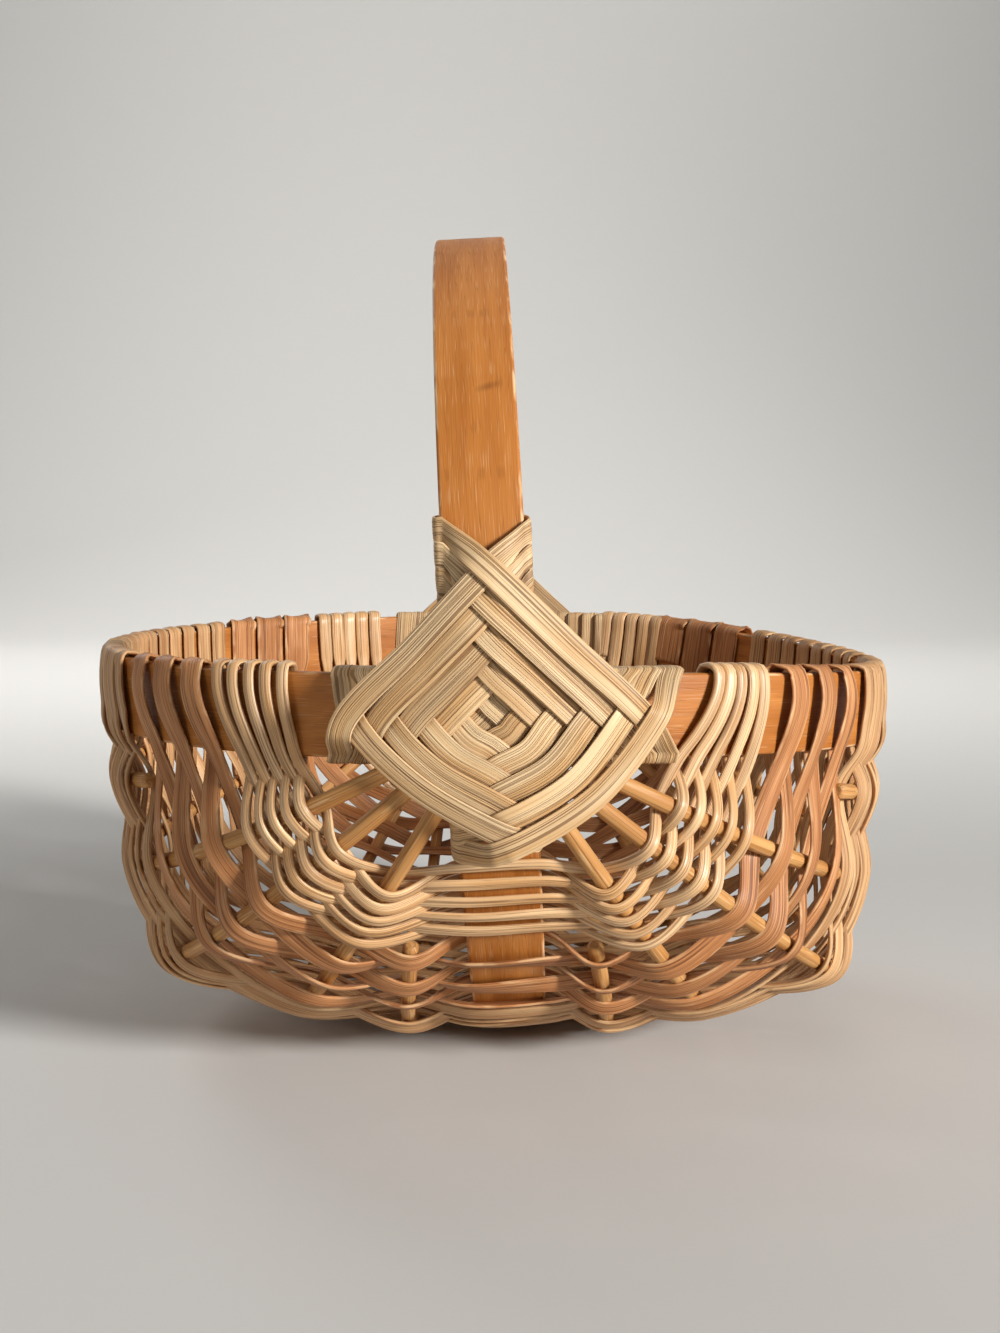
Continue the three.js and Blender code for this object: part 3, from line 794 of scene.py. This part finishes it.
def pulledTaut(s, support):  # the line of a tight reed over these supports: their upper hull
    keep = [0]
    for i in range(1, len(s)):
        while len(keep) > 1:
            j, k = keep[-2], keep[-1]
            if (support[k] - support[j]) * (s[i] - s[j]) > (support[i] - support[j]) * (s[k] - s[j]):
                break
            keep.pop()
        keep.append(i)
    taut = np.interp(s, s[keep], support[keep])
    window = np.hanning(lash["smooth"] + 2)  # its two ends are 0
    padded = np.pad(taut, lash["smooth"] // 2, mode="edge")
    return np.convolve(padded, window[1:-1] / window.sum(), mode="valid")


# One quarter turn on the face: from the near edge of an arm, over it, to the next arm and over that
def quarterTurn(n, heights):
    a, b = (n + 3) % 4, n % 4
    size = lash["start"] + lash["growth"] * n
    wayA, wayB = armWays[a], armWays[b]
    near = wayA * wrapOut(a, (n - 1) // 4 + lash["wrapBack"]) - wayB * armHalf[a] * lash["faceEnd"]
    far = wayB * wrapOut(b, n // 4) - wayA * armHalf[b] * lash["faceEnd"]
    passA = wayA * size * lash["armShare"][a]
    passB = wayB * size * lash["armShare"][b]
    bulge = (passA + passB) * 0.5 ** (1 / lash["bow"][a])
    flat, _ = smoothLine(np.array([near, passA, bulge, passB, far]), [], lash["faceStep"])
    forward = unit(np.gradient(flat, axis=0))
    outward = stack(-forward[:, 2], 0, forward[:, 0])
    s = np.concatenate([[0], np.cumsum(np.linalg.norm(np.diff(flat, axis=0), axis=1))])
    q = np.linspace(-0.5, 0.5, lash["samples"]) * lash["width"]
    strip = flat[:, None] + outward[:, None] * q[None, :, None]
    cell = cellOf(strip)
    under = heights[cell[..., 0], cell[..., 1]]
    middle = lash["samples"] // 2
    inner = pulledTaut(s, under[:, :middle].max(1))
    outer = pulledTaut(s, under[:, middle + 1 :].max(1))
    inner, outer = np.maximum(inner, outer - lash["twist"]), np.maximum(outer, inner - lash["twist"])
    share = q / lash["width"] + 0.5
    level = inner[:, None] * (1 - share) + outer[:, None] * share
    lift = pulledTaut(s, np.maximum((under - level).max(1), 0)) * lash["liftShare"]
    level = level + lift[:, None] + lash["clear"]
    stamp(heights, strip, level + lash["thickness"])
    flat[:, 1] = -(level.mean(1) + lash["thickness"] / 2)
    way = unit(outward * lash["width"] + stack(0, inner - outer, 0))
    for armWay, fromEnd in ((wayA, s), (wayB, s[-1] - s)):  # the reed folds along the edge of an arm
        share = np.sin(np.pi / 2 * np.clip(1 - fromEnd / lash["fold"], 0, 1)[:, None]) ** 2
        way = way * (1 - share) + armWay * share
    return flat, way


heights = crossingHeights()
stops, ways, turns = [], [], []
for n in range(lash["quarters"]):
    a, b = (n + 3) % 4, n % 4
    flat, way = quarterTurn(n, heights)
    beside = lash["gap"] + lash["thickness"] / 2 + lash["wrapLayer"] * (n // 4)
    corner = beside * lash["cornerShare"]
    before = []
    if n > 0:
        out = wrapOut(a, (n - 1) // 4 + lash["wrapBack"]) + lash["wrapSlant"][a] * np.array([1, 0.5])
        across = -armHalf[a] - np.array([beside, corner])
        before = [*armPoint(a, out, across, np.array([-armThick[a] / 2, corner]))]
    out = wrapOut(b, n // 4 + np.array(lash["wrapTurn"]))
    out += lash["wrapSlant"][b] * np.array(lash["wrapMove"])
    half, inset, back = armHalf[b], armHalf[b] * lash["backStop"], -armThick[b]
    across = np.array([half + corner, half + beside, half + corner, inset, -inset, -half - corner])
    off = np.array([corner, back / 2, back - corner, back - beside, back - beside, back - corner])
    after = [*armPoint(b, out, across, off)]
    stops += [*before, *flat, *after]
    ways += [*([armWays[a]] * len(before)), *way, *([armWays[b]] * len(after))]
    turns += [n] * (len(before) + len(flat) + len(after))
stops, ways, turns = np.array(stops), np.array(ways), np.array(turns, float)
line, (way, turnAt) = smoothLine(stops, [ways, turns], lash["step"])
rng = np.random.default_rng(11)
along = np.arange(len(line)) * lash["step"]
wide = 1 + sum(share * np.sin(along / length + phase) for share, length, phase in lash["widthWaves"])
section = reedSection(
    lash["width"], lash["thickness"], lash["power"], lash["ridges"], lash["ridgeHeight"], lash["perFace"]
)
eye = sweep(line, way, section, wide, square=False)
strandTone = np.interp(turnAt, np.arange(lash["quarters"]), rng.uniform(0, 1, lash["quarters"]))
edge = edgeOf(section)
addPiece("front_eye_lashing", eye, strandTone, edge, lashReed)
addPiece("back_eye_lashing", mirrored(eye), strandTone, edge[::-1], lashReed)
print("lashings made", len(line), "rings")


# A strand's way over the rim, as stops and directions: up the outer face, over and down the inner face
def turnOverRim(band, row, side, outerT, innerT):
    off = band["thickness"] / 2 + weave["gap"]
    deep = rim["thickness"]
    bend = off + weave["corner"]  # a loop's stops lie 30 and 60 degrees round this bend
    c, s = (bend * part(math.pi / 6) - weave["corner"] for part in (math.cos, math.sin))
    rise = np.array([-rimHalf - weave["edge"], *(share * rimHalf for share in weave["faceStops"])])
    top = np.array([s, c, c, s]) + np.array([0, 1, 1, 0]) * weave["loopRise"] + rimHalf
    up = np.concatenate([rise, top, rise[::-1]])
    bulge = band["bulge"] * np.array(weave["bulgeShares"])
    inside = -deep - off - weave["insideBulge"] * bulge[::-1]
    wide = c + weave["loopOut"]
    away = np.concatenate([off + bulge, [wide, s, -deep - s, -deep - wide], inside])
    first, last = band["slant"][side]
    lean = (first + (last - first) * max(row, 0) / band["rows"]) / rimRadius
    climbed = np.clip((up + rimHalf) / rim["width"], 0, 1)
    lean = lean * (1 - (1 - climbed) ** weave["leanPower"])
    t = outerT + (innerT - outerT) * np.array(weave["turnShares"]) + lean
    points = rimPoint(side, t, away, up)
    return points, slope(lambda a: rimPoint(side, a, away, up), t)


# One row from right to left: stops on the stakes' middle lines, moved off each rib until the strand clears it
def rowStops(band, row, first, last):
    half = [one for one in ribTable if "after" not in one or one["name"] in band["fillers"]]
    stakes = [(one, 1) for one in half] + [None] + [(one, -1) for one in half[::-1]]
    thick = band["thickness"] / 2
    points, middles, ways, sides, ribWays = [first[0]], [first[0]], [first[1]], [0], [None]
    for i, stake in enumerate(stakes):
        outside = (row + i) % 2 == 1
        if stake is None:
            u = rowAngle(band, row, 1, 1)
            off = thick + weave["gap"] if outside else -hoop["thickness"] - thick - weave["gap"]
            for across in (hoopHalf + weave["edge"], -hoopHalf - weave["edge"]):
                points.append(hoopPoint(u, off, across))
                middles.append(hoopPoint(u, -hoop["thickness"] / 2, across))
                ways.append(slope(lambda a: hoopPoint(a, off, across), u))
                sides.append(0)
                ribWays.append(None)
            continue
        one, side = stake
        t = ribAngle(band, row, one, side)
        points.append(ribPoint(one, side, t))
        middles.append(ribPoint(one, side, t))
        ways.append(None)
        sides.append(1 if outside else -1)
        ribWays.append(slope(lambda a: ribPoint(one, side, a), t))
    points.append(last[0])
    middles.append(last[0])
    ways.append(last[1])
    sides.append(0)
    need = ribRadius + weave["gap"] + thick
    for i in range(1, len(points) - 1):
        if sides[i]:
            chord = middles[i + 1] - middles[i - 1]
            normal = unit(np.cross(chord, ribWays[i]))
            ways[i] = unit(np.cross(normal, chord))
            points[i] = middles[i] + sides[i] * need * normal
    return points, ways


# One length of a band's reed: rows there and back, with a turn over the rim at each end
def strandStops(band, firstRow, endRow):
    points, ways, rows, onRim = [], [], [], []

    def add(morePoints, moreWays, row, rimShare):
        points.extend(morePoints)
        ways.extend(moreWays)
        rows.extend([row] * len(morePoints))
        onRim.extend([rimShare] * len(morePoints))

    for row in range(firstRow, endRow):
        even = row % 2 == 0
        atRight = [rowAngle(band, row + k, 0, 1) for k in (0, 1, -1)]
        atLeft = [rowAngle(band, row + k, 0, -1) for k in (0, 1, -1)]
        outerRight, innerRight = (atRight[0], atRight[2]) if even else (atRight[1], atRight[0])
        outerLeft, innerLeft = (atLeft[0], atLeft[1]) if even else (atLeft[2], atLeft[0])
        right = turnOverRim(band, row, 1, outerRight, innerRight)
        left = turnOverRim(band, row, -1, outerLeft, innerLeft)
        end = 0 if even else -1
        route = rowStops(band, row, (right[0][end], right[1][end]), (left[0][end], left[1][end]))
        if even:
            headPoints, headWays = right[0][:0:-1].copy(), right[1][:0:-1]
            if row == firstRow and row > 0:
                headPoints[0] += (headPoints[1] - headPoints[0]) * weave["splice"]
            else:
                headPoints, headWays = headPoints[1:], headWays[1:]
            add(headPoints, headWays, row, 1)
            add(*route, row, 0)
            add(left[0][1:-1], left[1][1:-1], row, 1)
        else:
            add(route[0][::-1], route[1][::-1], row, 0)
    return np.array(points), np.array(ways), np.array(rows), np.array(onRim, float)


def weaveStrand(band, section, number, firstRow):
    endRow = min(firstRow + weave["rowsPerLength"], band["rows"])
    stops, ways, rows, onRim = strandStops(band, firstRow, endRow)
    values = [ways, band["widths"][rows], band["tones"][rows], onRim]
    line, (way, wide, tone, rimShare) = smoothLine(stops, values, weave["step"])
    along = np.arange(len(line)) * weave["step"]
    waves = weave["twistWaves"]
    turning = sum(share * np.sin(along / length + phase * number) for share, length, phase in waves)
    tilt = band["twist"] * turning * (1 - (1 - weave["rimTwist"]) * rimShare)
    return sweep(line, way, section, wide * (1 + (band["rimFuller"] - 1) * rimShare), 1, tilt), tone


for bandName, band in bands.items():
    width, thickness, power, ridges = (band[key] for key in ("width", "thickness", "power", "ridges"))
    perFace = 2 * ridges + weave["facePoints"]
    section = reedSection(width, thickness, power, ridges, weave["ridgeHeight"], perFace)
    edge = edgeOf(section)
    material, slot = strandReeds[bandName], bandName + "_reed"
    for number, firstRow in enumerate(range(0, band["rows"], weave["rowsPerLength"]), 1):
        front, tone = weaveStrand(band, section, number, firstRow)
        addPiece(f"front_{bandName}_weaver_{number}", front, tone, edge, material)
        back, tone = weaveStrand({**band, **band["back"]}, section, number, firstRow)
        addPiece(f"back_{bandName}_weaver_{number}", mirrored(back), tone, edge[::-1], material)
print("strands woven")

# Studio: a large pale sheet that turns up behind the basket
studio = {
    "sheet": "#D2D0CC",
    "width": 5.0,
    "front": -1.7,
    "turn": 1.6,  # where the sheet starts to turn up
    "turnRadius": 1.4,
    "turnSteps": 24,
    "height": 4.0,
    "roughness": 0.9,
    "background": "#ECEAE6",
    "worldLevel": 0.12,  # as light
    "seenLevel": 0.7,  # as seen and reflected
    "key": {"place": (2.6, -2.2, 1.2), "aim": (0, 0, 0.1), "size": 0.7, "power": 20.5, "spread": 60},
    "fill": {"place": (-1.1, -1.1, 0.7), "aim": (0, 0, 0.1), "size": 0.5, "power": 3},
    "top": {"place": (0.2, 0.4, 1.5), "aim": (0, 0, 0.1), "size": 1.2, "power": 0.8},
    "rear": {"place": (-1.0, 1.2, 1.1), "aim": (0, 0, 0.1), "size": 0.8, "power": 7},
    "back": {"place": (0, 1.0, 1.6), "aim": (0, 3, 0.6), "size": 2.0, "power": 34},
}
bend = np.linspace(0, np.pi / 2, studio["turnSteps"])
reach = studio["turn"] + studio["turnRadius"] * np.sin(bend)
climb = studio["turnRadius"] * (1 - np.cos(bend))
profileY = np.concatenate([[studio["front"]], reach, reach[-1:]])
profileZ = np.concatenate([[0], climb, [studio["height"]]])
sheetX = np.array([-0.5, 0.5])[:, None] * studio["width"]
grid = stack(sheetX, profileY, profileZ)
count = len(profileY)
j = np.arange(count - 1)
quads = np.stack([j + count, j + count + 1, j + 1, j], -1)
sheetMesh = bpy.data.meshes.new("studio_sheet")
sheetMesh.from_pydata(grid.reshape(-1, 3).tolist(), [], quads.tolist())
sheetMesh.shade_smooth()
sheet = bpy.data.objects.new("studio_sheet", sheetMesh)
bpy.context.collection.objects.link(sheet)
sheetPaper, tree, shader = plainTree("matt_paper")
shader.inputs["Base Color"].default_value = linear(studio["sheet"])
shader.inputs["Roughness"].default_value = studio["roughness"]
sheetMesh.materials.append(sheetPaper)

world = bpy.data.worlds.new("studio")
bpy.context.scene.world = world
world.use_nodes = True
tree = world.node_tree
background = tree.nodes["Background"]
background.inputs["Color"].default_value = linear(studio["background"])
path = addNode(tree, "ShaderNodeLightPath", {})
seen = path.outputs["Is Camera Ray"]
for ray in ("Is Glossy Ray", "Is Transmission Ray"):
    seen = addNode(tree, "ShaderNodeMath", {0: seen, 1: path.outputs[ray]}, operation="MAXIMUM").outputs[0]
inputs = {"Value": seen, "To Min": studio["worldLevel"], "To Max": studio["seenLevel"]}
level = addNode(tree, "ShaderNodeMapRange", inputs).outputs[0]
tree.links.new(level, background.inputs["Strength"])

for lampName in ("key", "fill", "top", "rear", "back"):
    lamp = studio[lampName]
    data = bpy.data.lights.new(lampName, "AREA")
    data.shape = "DISK"
    data.size = lamp["size"]
    data.energy = lamp["power"]
    data.spread = math.radians(lamp.get("spread", 180))
    light = bpy.data.objects.new(lampName, data)
    light.location = lamp["place"]
    light.rotation_euler = (Vector(lamp["aim"]) - light.location).to_track_quat("-Z", "Y").to_euler()
    bpy.context.collection.objects.link(light)

# Camera: in front and a little above the rim. The focal length goes by the height of the frame
view = {
    "x": 2,
    "distance": 480,
    "aboveRim": 47,
    "pitch": math.radians(5.5),
    "focal": 1469,
    "frameHeight": 1333,
}
data = bpy.data.cameras.new("camera")
data.lens = data.sensor_width * view["focal"] / view["frameHeight"]
camera = bpy.data.objects.new("camera", data)
camera.location = toRow(np.array([view["x"], -view["distance"], view["aboveRim"]]))
camera.rotation_euler = (math.pi / 2 - view["pitch"], 0, 0)
bpy.context.collection.objects.link(camera)
bpy.context.scene.camera = camera
bpy.context.scene.view_settings.view_transform = "Standard"

print("basket dressed")
